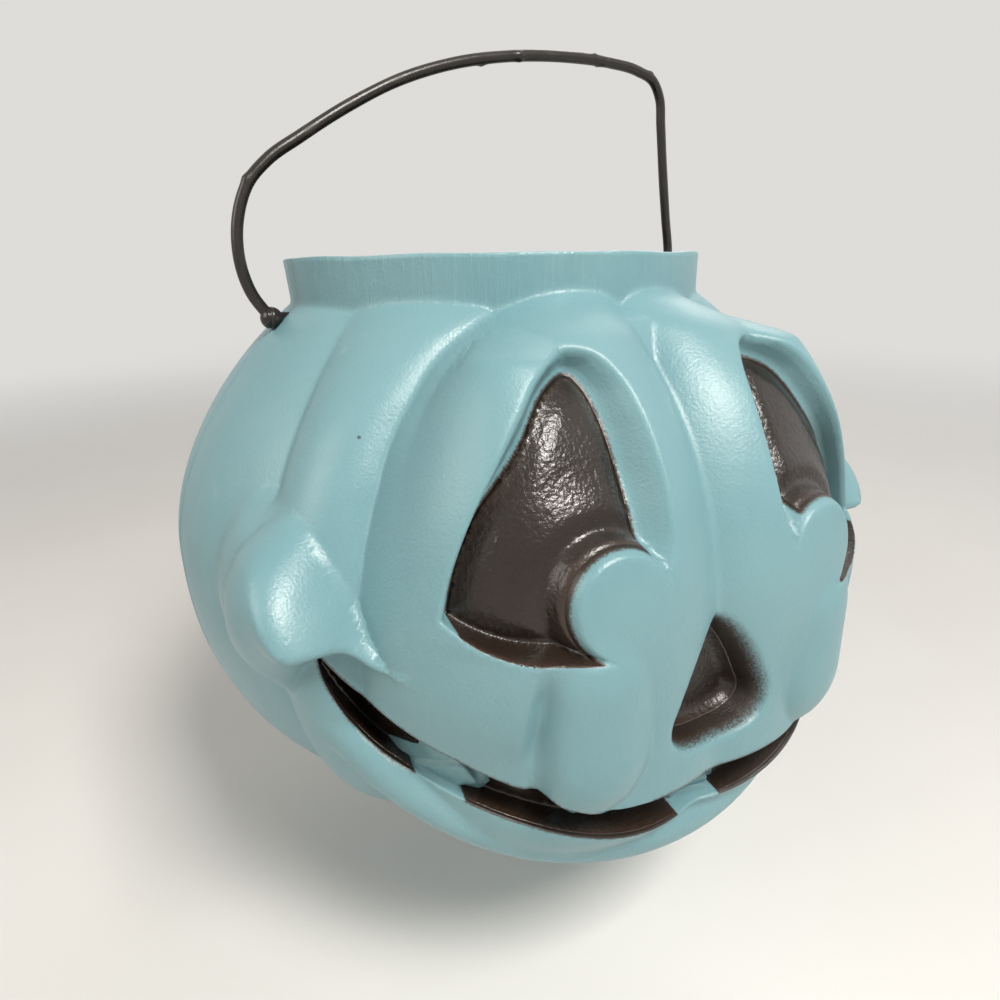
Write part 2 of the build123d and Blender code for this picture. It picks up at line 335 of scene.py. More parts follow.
def lobe_reach(azimuth, first, crest, last):
    """Distance to the round lobe through three points given as azimuth and radius."""
    (x1, y1), (x2, y2), (x3, y3) = [
        (r * np.sin(np.radians(a)), r * np.cos(np.radians(a))) for a, r in (first, crest, last)
    ]
    s1, s2, s3 = x1 * x1 + y1 * y1, x2 * x2 + y2 * y2, x3 * x3 + y3 * y3
    twice = 2 * (x1 * (y2 - y3) + x2 * (y3 - y1) + x3 * (y1 - y2))
    cx = (s1 * (y2 - y3) + s2 * (y3 - y1) + s3 * (y1 - y2)) / twice
    cy = (s1 * (x3 - x2) + s2 * (x1 - x3) + s3 * (x2 - x1)) / twice
    return ray_circle(np.radians(azimuth), cx, cy, np.hypot(x1 - cx, y1 - cy))


def side_profile(z):
    """Radius of the sides at a height."""
    egg = superellipse(z, side_radius, side_middle, side_rise, side_rise_power, side_drop, side_drop_power)
    return np.maximum(egg, foot_radius + side_foot_slope * np.minimum(z, foot_height))


def lobed_reach(azimuth, z):
    """Pumpkin body: face lobes, side lobes and back lobes."""
    a = np.abs(azimuth)
    z = np.minimum(z, lobe_top)
    side = side_profile(z)
    face = superellipse(z, face_radius, face_middle, face_rise, face_rise_power, face_drop, face_drop_power)
    face = face - jaw_drop * np.exp(-((z - jaw_height) / jaw_span) ** 2)
    face = np.maximum(face, foot_radius + face_foot_slope * np.minimum(z, foot_height))
    valley = curve_value(z, level_heights, valley_radii)
    relief = np.interp(z, level_heights, relief_shares)
    brow = curve_value(z, level_heights, brow_creases)
    fade = brow_fade_share + (1 - brow_fade_share) * ease((z - brow_fade_height) / brow_fade_span)
    brow_edge = (brow, side * (1 - brow_depth_share * relief * fade))
    brow_crest = ((brow + side_crease) / 2, side * (1 + brow_swell_share * relief))
    side_edge = (side_crease, side * (1 - side_depth_share * relief))
    crest = brow * curve_value(z, level_heights, face_crest_shares)
    front = [(0, valley), (crest, face), brow_edge]
    reach = soft_max(lobe_reach(a, *front), lobe_reach(-a, *front), valley_blend)
    reach = soft_max(reach, lobe_reach(a, brow_edge, brow_crest, side_edge), crease_blend)
    edge = side_edge
    for place, swell in zip(back_creases, (0, back_swell_share, back_swell_share)):
        crest = ((edge[0] + place) / 2, side * (1 + swell * relief))
        last = (place, side * (1 - back_depth_share * relief))
        reach = soft_max(reach, lobe_reach(a, edge, crest, last), crease_blend)
        mirrored = lobe_reach(360 - a, edge, crest, last)
        edge = last
    reach = soft_max(reach, mirrored, crease_blend)
    rested = ease((z - rest_height) / rest_span) * ease((rest_angle - a) / rest_fade_angle)
    reach = reach - rest_depth * rested
    flat = facet_low_reach - facet_slope * (z - facet_low_height)
    flat = flat / np.cos(np.radians(np.minimum(a, facet_turn_limit)))
    flat = flat - facet_fade_drop * ease((a - facet_half_angle) / facet_fade_angle)
    flat = flat - facet_under_slope * np.maximum(facet_low_height - z, 0)
    flat = flat - facet_top_slope * np.maximum(z - facet_top, 0)
    return np.where(a < facet_side_angle, soft_max(reach, flat, facet_blend), reach)


def lip_lines():
    """Azimuth, reach, height and slope along the lower lip's arc."""
    sag = math.hypot(lip_middle_reach - lip_end_reach, lip_end_height - lip_middle_height)
    radius = (lip_end_offset ** 2 + sag ** 2) / (2 * sag)
    turn = np.linspace(0, math.atan2(lip_end_offset, radius - sag), lip_steps)
    share = radius * (1 - np.cos(turn)) / sag
    x = radius * np.sin(turn)
    front = lip_middle_reach + share * (lip_end_reach - lip_middle_reach)
    z = lip_middle_height + share * (lip_end_height - lip_middle_height)
    azimuth = np.degrees(np.arctan2(x, front))
    slope = np.gradient(z, np.radians(azimuth) * np.hypot(x, front))
    return azimuth, np.hypot(x, front), z, slope


lip_azimuths, lip_reaches, lip_heights, lip_slopes = lip_lines()


def lip_reach(azimuth, z):
    """Distance to the rolled lip."""
    a = np.abs(azimuth)
    middle = np.interp(a, lip_azimuths, lip_heights)
    slope = np.interp(a, lip_azimuths, lip_slopes)
    away = (z - middle) / np.sqrt(1 + slope * slope)
    thick = lip_radius * ease((lip_azimuths[-1] + lip_end_past - a) / lip_end_fade)
    room = thick ** 2 - away ** 2
    reach = np.interp(a, lip_azimuths, lip_reaches) + np.sqrt(np.maximum(room, 0))
    return np.where(room > 0, reach, 0)


def muzzle_reach_at(azimuth, z):
    """Distance to the muzzle's round column."""
    a = np.radians(np.abs(azimuth))
    under = np.clip((muzzle_low - z) / muzzle_low_length, 0, 1)
    radius = muzzle_radius * np.sqrt(1 - under ** 2)
    sink = muzzle_fade_drop * ease((z - muzzle_fade_low) / (muzzle_fade_high - muzzle_fade_low))
    sink = sink + muzzle_top_slope * np.maximum(z - muzzle_fade_high, 0)
    front = muzzle_reach - muzzle_radius - sink
    return ray_circle(a, muzzle_offset, front, radius)


def ball_reach(azimuth, z, offset, front, middle, half_width, half_height):
    """Distance to a ball or an upright egg, falling away smoothly past its edges."""
    a = np.radians(np.abs(azimuth))
    along = offset * np.sin(a) + front * np.cos(a)
    room = along ** 2 - offset ** 2 - front ** 2 + half_width ** 2 * (1 - ((z - middle) / half_height) ** 2)
    return along + np.where(room > 0, 1, -limb_fall) * np.sqrt(np.abs(room))


def flat_line(points):
    """Smooth line on the unrolled body."""
    return spline(np.array(points) * np.array([degree_length, 1.0]))


cheek_crease_line = flat_line(cheek_crease)
cheek_edge_line = flat_line(cheek_edge)
muzzle_crease_line = flat_line(muzzle_crease)


def round_rise(share):
    """Quarter-round rise from 0 to 1."""
    return np.sqrt(1 - (1 - np.clip(share, 0, 1)) ** 2)


def cheek_rise(azimuth, z, reach):
    """How far the cheek stands out: held back along its crease, and rolled under above the mouth."""
    a = np.abs(azimuth)
    ball = ball_reach(a, z, cheek_offset, cheek_front, cheek_middle, cheek_radius, cheek_radius)
    pad = ball_reach(a, z, pad_offset, pad_front, pad_middle, pad_radius, pad_radius)
    form = soft_max(soft_max(ball, pad, pad_blend), reach, cheek_blend)
    u = a * degree_length
    behind = (u > np.interp(z, cheek_crease_line[:, 1], cheek_crease_line[:, 0])) | (z < cheek_crease[0][1])
    from_crease = np.where(behind, line_distance(u, z, cheek_crease_line), 0)
    above = z > np.interp(u, cheek_edge_line[:, 0], cheek_edge_line[:, 1])
    from_edge = np.where(above, line_distance(u, z, cheek_edge_line), 0)
    edge_rise = cheek_edge_rise + cheek_fade_rise * ease((a - cheek_fade_angle) / cheek_fade_span)
    folded = np.sin(np.pi / 2 * np.clip(from_crease / cheek_crease_rise, 0, 1))
    return (form - reach) * folded * round_rise(from_edge / edge_rise)


def skin_reach(azimuth, z):
    """Outer skin before the recesses: lobes, brows, muzzle, lip and cheeks."""
    reach = lobed_reach(azimuth, z)
    brow = ball_reach(azimuth, z, brow_offset, brow_front, brow_middle, brow_half_width, brow_half_height)
    fade = ease((brow_foot + brow_foot_span - z) / brow_foot_span) + ease((z - brow_top) / brow_top_span)
    brow = brow - 2 * brow_blend * fade
    reach = soft_max(reach, brow, brow_blend)
    a = np.abs(azimuth)
    with_muzzle = soft_max(reach, muzzle_reach_at(azimuth, z), muzzle_blend)
    reach = np.where(a < muzzle_side_angle, with_muzzle, reach)
    away = line_distance(a * degree_length, z, muzzle_crease_line)
    fade = ease((muzzle_crease[0][1] - z) / muzzle_crease_fade)
    reach = reach - muzzle_crease_depth * fade * np.exp(-(away / muzzle_crease_width) ** 2)
    with_lip = soft_max(reach, lip_reach(azimuth, z), lip_blend)
    reach = np.where(a < lip_side_angle, with_lip, reach)
    return reach + cheek_rise(azimuth, z, reach)


def pupil_line():
    """Edge of the pupil, from its inner notch over the top to its lower notch."""
    angles = np.radians(np.linspace(pupil_start, pupil_end, pupil_steps))
    return np.column_stack([pupil_center[0] + pupil_radius * np.cos(angles),
                            pupil_center[1] + pupil_radius * np.sin(angles)])


def hand_line(line, hand):
    """A right-hand line, or its mirror image."""
    return np.asarray(line) * np.array([hand, 1.0])


class Recess:
    """A recess drawn back from the front, whose walls have a run, a painted share and a rounded share."""

    def __init__(self, walls):
        self.lines, self.runs, self.paints, self.roundings = zip(*walls)
        self.outline = self.chain()
        self.low = self.outline.min(axis=0)
        self.high = self.outline.max(axis=0)

    def chain(self):
        """Closed outline from the walls, joined end to end."""
        rest = [np.asarray(line) for line in self.lines]
        outline = [rest.pop(0)]
        while rest:
            end = outline[-1][-1]
            ends = [min(np.hypot(*(line[0] - end)), np.hypot(*(line[-1] - end))) for line in rest]
            line = rest.pop(int(np.argmin(ends)))
            if np.hypot(*(line[-1] - end)) < np.hypot(*(line[0] - end)):
                line = line[::-1]
            outline.append(line)
        return np.vstack(outline)

    def near(self, x, z, margin):
        """Whether each point lies in the box round the recess, widened by a margin."""
        low, high = self.low - margin, self.high + margin
        return (x > low[0]) & (x < high[0]) & (z > low[1]) & (z < high[1])

    def lengths(self, x, z):
        """Run of each wall."""
        return [run(x, z) if callable(run) else run for run in self.runs]

    def rounded(self, x, z):
        """Rounded share of each wall."""
        return [share(x, z) if callable(share) else share for share in self.roundings]

    def shares(self, x, z):
        """Distance from each wall's rim as a share of its run, negative outside."""
        sign = np.where(inside(x, z, self.outline), 1.0, -1.0)
        away = [line_distance(x, z, line) for line in self.lines]
        out = -np.minimum.reduce(away) / outside_length
        return [np.where(sign > 0, d / run, out) for d, run in zip(away, self.lengths(x, z))]

    def rim(self, x, z):
        """0 on the rim, 1 at the foot of the walls."""
        return np.minimum.reduce(self.shares(x, z))

    def paint(self, x, z):
        """0 on the paint's edge, positive where the paint lies."""
        return np.minimum.reduce([s - p for s, p in zip(self.shares(x, z), self.paints)])


def eye_wall_run(x, z):
    """Run of the eye's wall: wide above and towards the nose, narrow at the outer side."""
    wide = ease((eye_narrow_offset - np.abs(x)) / eye_run_span)
    return eye_narrow_run + (eye_wide_run - eye_narrow_run) * wide


def eye_rounding(x, z):
    """Rounded share of the eye's wall."""
    return eye_rim_rounding / eye_wall_run(x, z)


def eye_recess(hand):
    """One eye, with the pupil left standing in its inner corner."""
    return Recess([
        (hand_line(spline(eye_rim), hand), eye_wall_run, eye_painted_share, eye_rounding),
        (hand_line(pupil_line(), hand), *pupil_wall),
        (hand_line(spline(eye_foot), hand), *eye_foot_wall),
    ])


def nose_wall_run(x, z):
    """Run of the nose's wall: wide at the sides, narrower at the foot."""
    return nose_foot_run + (nose_side_run - nose_foot_run) * ease((z - nose_foot_height) / nose_run_span)


def nose_recess():
    """Rounded triangle across the middle valley."""
    return Recess([(hand_line(spline(nose_rim), hand), nose_wall_run, *nose_shares) for hand in (1, -1)])


def mouth_recess():
    """Wide smile between the upper lip and the rolled lower lip."""
    walls = []
    for hand in (1, -1):
        walls.append((hand_line(spline(mouth_upper), hand), *mouth_upper_wall))
        walls.append((hand_line(spline(mouth_muzzle), hand), *mouth_upper_wall))
        walls.append((hand_line(spline(mouth_lower), hand), *mouth_lower_wall))
    return Recess(walls)


recesses = {
    "eye_paint_left": eye_recess(-1),
    "eye_paint_right": eye_recess(1),
    "nose_paint": nose_recess(),
    "mouth_paint": mouth_recess(),
}


def tooth_share(x, z, middle, half, turn):
    """Signed distance inside a rounded tooth."""
    c, s = math.cos(math.radians(turn)), math.sin(math.radians(turn))
    best = np.full(np.shape(x), -far_away)
    for hand in (1, -1):
        dx, dz = hand * x - middle[0], z - middle[1]
        across = np.abs(c * dx + s * dz) - half[0] + tooth_rounding
        up = np.abs(c * dz - s * dx) - half[1] + tooth_rounding
        away = np.hypot(np.maximum(across, 0), np.maximum(up, 0)) + np.minimum(np.maximum(across, up), 0)
        best = np.maximum(best, tooth_rounding - away)
    return best


def teeth_share(x, z):
    """Signed distance inside the nearest tooth."""
    return np.maximum.reduce([tooth_share(x, z, m, h, t) for m, h, t, back in teeth])


def wall_ramp(share, start):
    """Draft wall's drop: rounded at the rim, straight, and filleted at the foot."""
    end = wall_fillet_share
    share = np.clip(share, 0, 1)
    total = 1 - start / 2 - end / 2
    first = share ** 2 / (2 * start)
    straight = share - start / 2
    last = total - (1 - share) ** 2 / (2 * end)
    return np.where(share < start, first, np.where(share < 1 - end, straight, last)) / total


def floor_drop(name, shares, x, y, z):
    """How far behind the skin the floor of a recess lies."""
    if name == "nose_paint":
        return np.maximum(-nose_floor_reach - y, 0)
    if name == "mouth_paint":
        deep = mouth_depth - mouth_valley_fill * np.exp(-(x / mouth_valley_width) ** 2)
        reach = np.hypot(x, y)
        return deep * reach / np.maximum(-y, mouth_side_share * reach)
    eye = recesses[name]
    past = np.minimum.reduce([(s - 1) * run for s, run in zip(shares, eye.lengths(x, z))])
    by_pupil = 1 - ease(line_distance(x, z, eye.lines[1]) / pupil_shallow_reach)
    return eye_depth + eye_pillow * (1 - ease(past / eye_pillow_reach)) - pupil_shallow * by_pupil


def recess_drop(x, y, z, spread=0.0):
    """How far back each point of the skin goes, with the walls moved outwards by a spread."""
    drop = np.zeros(np.shape(x))
    for name, recess in recesses.items():
        near = recess.near(x, z, drop_margin + spread) & (y < 0)
        if not near.any():
            continue
        nx, ny, nz = x[near], y[near], z[near]
        shares = recess.shares(nx, nz)
        if spread:
            outside = np.minimum.reduce(shares) < 0
            shares = [np.where(outside, spread + outside_length * s, s * run + spread) / run
                      for s, run in zip(shares, recess.lengths(nx, nz))]
        ramp = np.minimum.reduce([wall_ramp(s, r) for s, r in zip(shares, recess.rounded(nx, nz))])
        here = floor_drop(name, shares, nx, ny, nz) * ramp
        if name == "mouth_paint":
            for middle, half, turn, back in teeth:
                stands = ease((tooth_share(nx, nz, middle, half, turn) + spread) / tooth_wall)
                here = np.minimum(here, here + (np.minimum(back, here) - here) * stands)
        drop[near] = np.maximum(drop[near], here)
    return drop


# Search for the azimuth of a point that is given by its offset and height
guess_reach = 118.0
guess_sine_limit = 0.98
sine_limit = 0.99
search_steps = 40
search_share = 0.45


def front_azimuth(x, z):
    """Azimuth at which the skin has a given offset and height."""
    azimuth = np.degrees(np.arcsin(np.clip(x / guess_reach, -guess_sine_limit, guess_sine_limit)))
    for _ in range(search_steps):
        aim = np.degrees(np.arcsin(np.clip(x / skin_reach(azimuth, z), -sine_limit, sine_limit)))
        azimuth = azimuth + search_share * (aim - azimuth)
    return azimuth


# Flat map of the skin: azimuth across and height up, with points along the edges of the recesses
face_map_step = 1.25
back_map_step = 3.0
back_row_step = 2.6
face_map_angle = 78.0
contour_step = 0.5
line_step = 0.85
line_clearance = 0.6
ring_shares = [0, 0.12, 0.25, 0.45, 0.65, 0.82, 1]
edge_steps = [0, 0.4, 1.1, 2.2, 3.6]
upper_height = 160.0
upper_span = 15.0
map_top = upper_height + upper_span
half_turn = 180 * degree_length
map_row_start = 20.2
face_row_clearance = 0.6
back_row_clearance = 1.0
side_map_start = 79.0
side_map_end = 88.4
side_map_step = 1.1
angle_margin = 0.01
parting_map_angles = [88.9, 89.5, 89.75, 90, 90.25, 90.5, 91.1]
back_map_start = 92.0
back_map_end = 179.5
box_margin = 2.0
clear_outside_share = -0.1
clear_inside_share = 1.05
least_loop = 6
merge_distance = 1e-5
edge_distance = 1e-3
low_rows = [0.5, 1.2, 2.2, 3.4, 5.0, 7.0, 9.0, 11.0, 13.0, 15.0, 17.0, 19.0]


def contour(field, low, high):
    """Closed lines on which a field of offset and height is zero."""
    xs = np.arange(low[0], high[0] + contour_step, contour_step)
    zs = np.arange(low[1], high[1] + contour_step, contour_step)
    gx, gz = np.meshgrid(xs, zs)
    value = field(gx.ravel(), gz.ravel()).reshape(gx.shape)
    above = value > 0
    mixed = above[:-1, :-1].astype(int) + above[1:, :-1] + above[:-1, 1:] + above[1:, 1:]
    links = {}
    for i, j in np.argwhere((mixed > 0) & (mixed < 4)).tolist():
        corners = [(i, j), (i, j + 1), (i + 1, j + 1), (i + 1, j)]
        sides = [tuple(sorted(pair)) for pair in zip(corners, corners[1:] + corners[:1])]
        crossed = [side for side in sides if above[side[0]] != above[side[1]]]
        for first, second in zip(crossed[::2], crossed[1::2]):
            links.setdefault(first, []).append(second)
            links.setdefault(second, []).append(first)
    lines = []
    while links:
        side = next(iter(links))
        chain = []
        while side is not None:
            chain.append(side)
            following = links.pop(side)
            side = next((s for s in following if s in links), None)
        points = []
        for start, end in chain:
            share = value[start] / (value[start] - value[end])
            x = gx[start] + share * (gx[end] - gx[start])
            points.append((x, gz[start] + share * (gz[end] - gz[start])))
        lines.append(np.array(points))
    return lines


def even_points(line, step, closed):
    """Points at an even step along a line, or round a closed one."""
    if closed:
        line = np.vstack([line, line[:1]])
    lengths = line_lengths(line)
    count = int(round(lengths[-1] / step))
    along = np.linspace(0, lengths[-1], count + 1)
    if closed:
        along = along[:-1]
    return np.column_stack([np.interp(along, lengths, line[:, k]) for k in range(2)])


def coat_field(name):
    """Positive where a coat of paint lies, zero along its edge."""
    recess = recesses[name]
    if name == "mouth_paint":
        return lambda x, z: np.minimum(recess.paint(x, z), -teeth_share(x, z))
    return recess.paint


def recess_loops():
    """Loops of points along the walls, the coats' edges and the teeth."""
    loops = []
    for name, recess in recesses.items():
        low, high = recess.low - box_margin, recess.high + box_margin
        for share in ring_shares:
            loops += contour(lambda x, z, s=share: recess.rim(x, z) - s, low, high)
        loops += contour(coat_field(name), low, high)
    mouth = recesses["mouth_paint"]
    for rise in (0, tooth_wall / 2, tooth_wall):
        loops += contour(lambda x, z, r=rise: np.minimum(teeth_share(x, z) - r, mouth.rim(x, z)),
                         mouth.low - box_margin, mouth.high + box_margin)
    loops = [even_points(loop, line_step, True) for loop in loops]
    return [loop for loop in loops if len(loop) >= least_loop]


def fold_lines():
    """Open lines of points along the cheeks' creases and along the rolls above the corners of the mouth."""
    lines = []
    for line, steps in ((cheek_crease_line, (0,)), (cheek_edge_line, edge_steps)):
        ahead = np.gradient(line, axis=0)
        across = np.column_stack([-ahead[:, 1], ahead[:, 0]]) / np.hypot(*ahead.T)[:, None]
        for step in steps:
            moved = even_points(line + across * step, line_step, False)
            lines += [moved, moved * np.array([-1, 1])]
    return lines


# Columns of the collar's rings, and the search for the collar's foot
ring_step = 0.75
ring_front_end = 88.0
parting_ring_angles = [88.6, 89.3, 89.7, 90, 90.3, 90.7, 91.4]
ring_side_start = 92.25
ring_side_end = 110.0
ring_back_start = 110.5
ring_back_count = 34
collar_search_low = 150.0
collar_search_high = 179.0
collar_search_steps = 30
collar_fillet = 1.0


def ring_azimuths():
    """Columns of the rings: fine where the photograph sees the collar, close beside the parting line."""
    half = np.concatenate([np.arange(0, ring_front_end, ring_step), parting_ring_angles,
                           np.arange(ring_side_start, ring_side_end, ring_step),
                           np.linspace(ring_back_start, 180, ring_back_count)])
    return np.concatenate([-half[:0:-1], half[:-1]])


def collar_foot(azimuths):
    """Height at which each column reaches the collar."""
    low = np.full(azimuths.shape, collar_search_low)
    high = np.full(azimuths.shape, collar_search_high)
    for _ in range(collar_search_steps):
        middle = (low + high) / 2
        wide = skin_reach(azimuths, middle) > collar_radius + collar_fillet
        low = np.where(wide, middle, low)
        high = np.where(wide, high, middle)
    return low


azimuths = ring_azimuths()
columns = len(azimuths)
ring_turns = np.radians(azimuths)
tops = collar_foot(azimuths)


def top_at(azimuth):
    """Height of the collar's foot at any azimuth."""
    return np.interp(azimuth, np.append(azimuths, 180), np.append(tops, tops[0]))


def map_height(azimuth, v):
    """Height of a point of the map, whose upper rows follow the collar's foot."""
    share = np.clip((v - upper_height) / upper_span, 0, 1)
    return np.minimum(v, upper_height) + share * (top_at(azimuth) - upper_height)


def grid_points(columns, rows):
    """Points of a grid, as azimuth and row."""
    return np.stack(np.meshgrid(columns, rows), -1).reshape(-1, 2)


def map_grid():
    """Grid points of the map: fine over the face, coarse behind, close beside the parting line."""
    face_rows = np.arange(map_row_start, map_top - face_row_clearance, face_map_step)
    face_columns = np.arange(-face_map_angle, face_map_angle + angle_margin, face_map_step / degree_length)
    upper_rows = np.arange(map_row_start, map_top - back_row_clearance, back_row_step)
    back_rows = np.concatenate([low_rows, upper_rows])
    behind = np.concatenate([np.arange(side_map_start, side_map_end, side_map_step),
                             parting_map_angles,
                             np.arange(back_map_start, back_map_end, back_map_step / degree_length)])
    grids = [
        grid_points(face_columns, face_rows),
        grid_points(np.concatenate([-behind[::-1], behind]), back_rows),
        grid_points(face_columns[::2], low_rows),
    ]
    return np.vstack(grids), back_rows


def clear_of_lines(grid, flat, traced):
    """Map's grid points that stand clear of the traced lines and of the recesses' walls."""
    near = KDTree(len(traced))
    for n, (u, v) in enumerate(traced):
        near.insert((u, v, 0), n)
    near.balance()
    clear = np.array([near.find((u, v, 0))[2] > line_clearance for u, v in flat])
    z = map_height(grid[:, 0], grid[:, 1])
    x = skin_reach(grid[:, 0], z) * np.sin(np.radians(grid[:, 0]))
    ahead = np.abs(grid[:, 0]) < face_map_angle
    for recess in recesses.values():
        box = ahead & recess.near(x, z, box_margin)
        share = recess.rim(x[box], z[box])
        clear[box] &= (share < clear_outside_share) | (share > clear_inside_share)
    return flat[clear]


def line_edges(loops, folds):
    """Pairs of point numbers along the closed loops and then along the open folds."""
    edges = []
    start = 0
    for line, closed in [(loop, True) for loop in loops] + [(fold, False) for fold in folds]:
        ids = range(start, start + len(line))
        edges += zip(ids, ids[1:])
        if closed:
            edges.append((ids[-1], ids[0]))
        start += len(line)
    return edges


def close_seam(spots, faces):
    """Join the map's two ends, which meet at the back."""
    wrapped = {}
    for n in np.flatnonzero(spots[:, 0] < -half_turn + edge_distance):
        wrapped[round(spots[n, 1], 2)] = n
    same = np.arange(len(spots))
    for n in np.flatnonzero(spots[:, 0] > half_turn - edge_distance):
        same[n] = wrapped[round(spots[n, 1], 2)]
    kept, order = np.unique(same, return_inverse=True)
    return spots[kept], order[faces]


def row_points(spots, chosen):
    """Numbers of the chosen points, in order across the map."""
    row = np.flatnonzero(chosen)
    return row[np.argsort(spots[row, 0])]


def build_map():
    """Triangles of the skin on its map, and the rows of points that meet the base and the collar."""
    grid, side_rows = map_grid()
    loops = recess_loops()
    folds = fold_lines()
    offsets, heights = np.vstack(loops).T
    looped = np.column_stack([front_azimuth(offsets, heights) * degree_length, heights])
    traced = np.vstack([looped, *folds])
    flat = clear_of_lines(grid, grid * np.array([degree_length, 1]), traced)
    across = np.append(azimuths, 180) * degree_length
    bottom_row = np.column_stack([across, np.zeros(columns + 1)])
    top_row = np.column_stack([across, np.full(columns + 1, map_top)])
    left = np.column_stack([np.full(len(side_rows), -half_turn), side_rows])
    right = left * np.array([-1, 1])
    corners = np.vstack([traced, bottom_row, top_row, left, right, flat])
    corners = [Vector(corner) for corner in corners.tolist()]
    spots, _, faces, _, _, _ = delaunay_2d_cdt(corners, line_edges(loops, folds), [], 0, merge_distance)
    spots, faces = close_seam(np.array([tuple(spot) for spot in spots]), np.array(faces))
    foot = row_points(spots, spots[:, 1] < edge_distance)
    head = row_points(spots, spots[:, 1] > map_top - edge_distance)
    return spots[:, 0] / degree_length, spots[:, 1], faces, foot, head


# Mould parting line down both sides, and a seat for each bead
parting_height = 0.35
parting_half_width = 0.55
parting_start = 12.0
hinge_points = np.array([(-hinge_offset, 0, hinge_height), (hinge_offset, 0, hinge_height)])


def raise_skin(azimuth, v):
    """Points of the skin in space, drawn back into the recesses."""
    z = map_height(azimuth, v)
    reach = skin_reach(azimuth, z)
    across = (np.abs(azimuth) - 90) * degree_length / parting_half_width
    reach = reach + parting_height * np.exp(-across ** 2) * ease(z / parting_start)
    x = reach * np.sin(np.radians(azimuth))
    y = -reach * np.cos(np.radians(azimuth))
    points = np.column_stack([x, y + recess_drop(x, y, z), z])
    for seat in hinge_points:
        away = points - seat
        length = np.linalg.norm(away, axis=1, keepdims=True)
        points = np.where(length < bead_seat, seat + away / (length + tiny) * bead_seat, points)
    return points


def point_normals(points, faces):
    """Outward normal at each point of a triangle mesh."""
    corners = points[faces]
    cross = np.cross(corners[:, 1] - corners[:, 0], corners[:, 2] - corners[:, 0])
    normals = np.zeros(points.shape)
    for k in range(3):
        np.add.at(normals, faces[:, k], cross)
    return normals / (np.linalg.norm(normals, axis=1, keepdims=True) + tiny)


def new_mesh(name, points, faces):
    """Object in metres from points in millimetres."""
    faces = [tuple(int(corner) for corner in face) for face in faces]
    mesh = bpy.data.meshes.new(name)
    mesh.from_pydata((np.asarray(points) * MM).tolist(), [], faces)
    mesh.update()
    piece = bpy.data.objects.new(name, mesh)
    bpy.context.scene.collection.objects.link(piece)
    mesh.shade_smooth()
    return piece


def outward(piece):
    """Turn the faces of a closed piece outwards."""
    work = bmesh.new()
    work.from_mesh(piece.data)
    bmesh.ops.recalc_face_normals(work, faces=work.faces)
    work.to_mesh(piece.data)
    work.free()


def point_values(piece, name, values):
    """Store one number per point for the material."""
    attribute = piece.data.attributes.new(name, "FLOAT", "POINT")
    attribute.data.foreach_set("value", np.asarray(values, np.float32))


skin_azimuths, skin_rows, skin_faces, skin_foot, skin_head = build_map()
skin = raise_skin(skin_azimuths, skin_rows)
skin_normals = point_normals(skin, skin_faces)


# Collar: uneven trimmed edge, upright scrape marks and a wrinkled patch towards the front
collar_rows = 11
inner_collar_rows = 5
collar_foot_steps = [(0.55, 0.3), (0.22, 0.8), (0.05, 1.5)]
collar_wall_start = 2.4
patch_azimuth = -13.0
patch_half_width = 11.0
patch_height = 0.16
scrape_height = 0.07
scrape_counts = (23, 37, 61, 83, 111)
scrape_lean = 1.5
scrape_spread = 2.2
scrape_seed = 11
rim_wave = 0.28
rim_wave_counts = (2, 3, 5, 9, 14)
rim_wave_seed = 5
rim_bevel = 0.3


def collar_wave(share):
    """Small unevenness of the collar's wall, growing towards the rim."""
    waves = np.random.default_rng(scrape_seed)
    total = np.zeros(columns)
    patch = np.exp(-((azimuths - patch_azimuth) / patch_half_width) ** 2)
    for count in scrape_counts:
        shift = waves.uniform(0, 2 * math.pi)
        lean = waves.uniform(-scrape_lean, scrape_lean)
        total += np.sin(count * ring_turns + shift + lean * share)
    lean_out = collar_lean * share * np.maximum(-np.sin(ring_turns), 0) ** 2
    return lean_out + (scrape_height + patch_height * patch) * total / scrape_spread * share


def collar_ring(radius, height):
    """Ring round the axis, from a radius and a height for each column."""
    radius = np.broadcast_to(radius, columns)
    height = np.broadcast_to(height, columns)
    return np.column_stack([radius * np.sin(ring_turns), -radius * np.cos(ring_turns), height])


def collar_rings():
    """Fillet at the foot, outer wall, trimmed rim and inner wall of the collar."""
    heights = np.random.default_rng(rim_wave_seed)
    rim = np.full(columns, collar_top - rim_wave)
    for count in rim_wave_counts:
        rim += rim_wave / 3 * np.sin(count * ring_turns + heights.uniform(0, 2 * math.pi))
    rings = []
    for radius, rise in collar_foot_steps:
        rings.append(collar_ring(collar_radius + radius, tops + rise))
    start = tops + collar_wall_start
    for share in np.linspace(0, 1, collar_rows):
        height = start + share * (rim - rim_bevel - start)
        rings.append(collar_ring(collar_radius + collar_wave(share), height))
    outer = collar_radius + collar_wave(1)
    rings.append(collar_ring(outer - rim_bevel, rim))
    rings.append(collar_ring(outer - wall + rim_bevel, rim))
    for share in np.linspace(1, 0, inner_collar_rows):
        height = start + share * (rim - rim_bevel - start)
        rings.append(collar_ring(collar_radius - wall + collar_wave(share), height))
    return rings


# Inside of the moulding: how far its recess walls stand off, and where its floor lies
inner_spread = 3.5
inner_floor = 4.2
inner_top_clearance = 0.8
inner_upper_shares = np.linspace(0, 0.10, 6)
inner_lower_shares = np.linspace(0.12, 1, 46)


def inner_rings():
    """Inner wall of the moulding, from the collar down to the floor."""
    rings = []
    for depth in np.concatenate([inner_upper_shares, inner_lower_shares]):
        z = (tops - inner_top_clearance) * (1 - depth) + inner_floor * depth
        reach = skin_reach(azimuths, z) - wall
        x = reach * np.sin(ring_turns)
        y = -reach * np.cos(ring_turns)
        y = y + recess_drop(x, y - wall, z, inner_spread)
        rings.append(np.column_stack([x, y, z]))
    return rings


